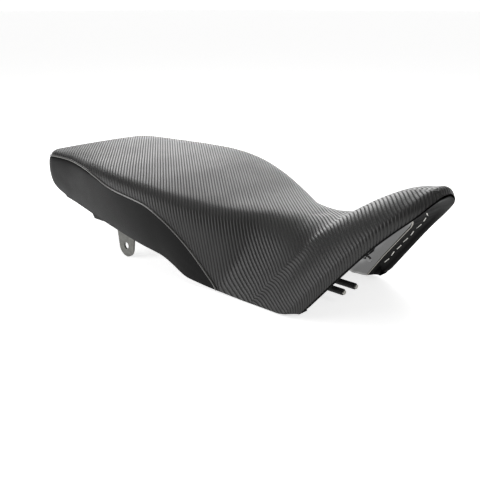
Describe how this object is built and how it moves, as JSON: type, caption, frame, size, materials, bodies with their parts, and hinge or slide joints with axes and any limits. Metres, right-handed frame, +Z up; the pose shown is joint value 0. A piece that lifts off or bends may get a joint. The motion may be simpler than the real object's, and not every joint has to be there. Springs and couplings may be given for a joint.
{
  "type": "motorcycle seat",
  "caption": "Two-up motorcycle seat with a ribbed vinyl top, smooth side panels, a raised nose, a moulded pan, forward prongs and rear bolt-on tabs.",
  "frame": {"origin": "middle of the footprint, on the floor the seat stands on", "axes": "+X towards the nose (forwards on the motorcycle), +Y to the rider's left, +Z up"},
  "size_m": [0.6792, 0.279, 0.1707],
  "materials": {
    "pan_plastic": "gloss black moulded plastic",
    "seat_foam": "open-cell seat foam",
    "ribbed_vinyl": "black vinyl embossed with a fine diagonal rib",
    "matte_vinyl": "matte black grained vinyl",
    "coated_steel": "satin dark grey coated steel",
    "zinc_steel": "dull zinc-plated steel",
    "black_rubber": "moulded black rubber"
  },
  "bodies": {
    "root": {"seat_pan": "pan_plastic", "foam_core": "seat_foam", "top_cover": "ribbed_vinyl", "side_cover_right": "matte_vinyl", "side_cover_left": "matte_vinyl", "prong_bracket": "coated_steel", "front_prong_right": "zinc_steel", "prong_sleeve_right": "black_rubber", "prong_nut_right": "zinc_steel", "rear_tab_right": "coated_steel", "rail_buffer_right": "black_rubber", "front_prong_left": "zinc_steel", "prong_sleeve_left": "black_rubber", "prong_nut_left": "zinc_steel", "rear_tab_left": "coated_steel", "rail_buffer_left": "black_rubber", "bracket_screw_front_right": "zinc_steel", "bracket_screw_front_left": "zinc_steel", "bracket_screw_rear_right": "zinc_steel", "bracket_screw_rear_left": "zinc_steel", "tab_screw_front_right": "zinc_steel", "tab_screw_front_left": "zinc_steel", "tab_screw_rear_right": "zinc_steel", "tab_screw_rear_left": "zinc_steel"}
  },
  "joints": []
}
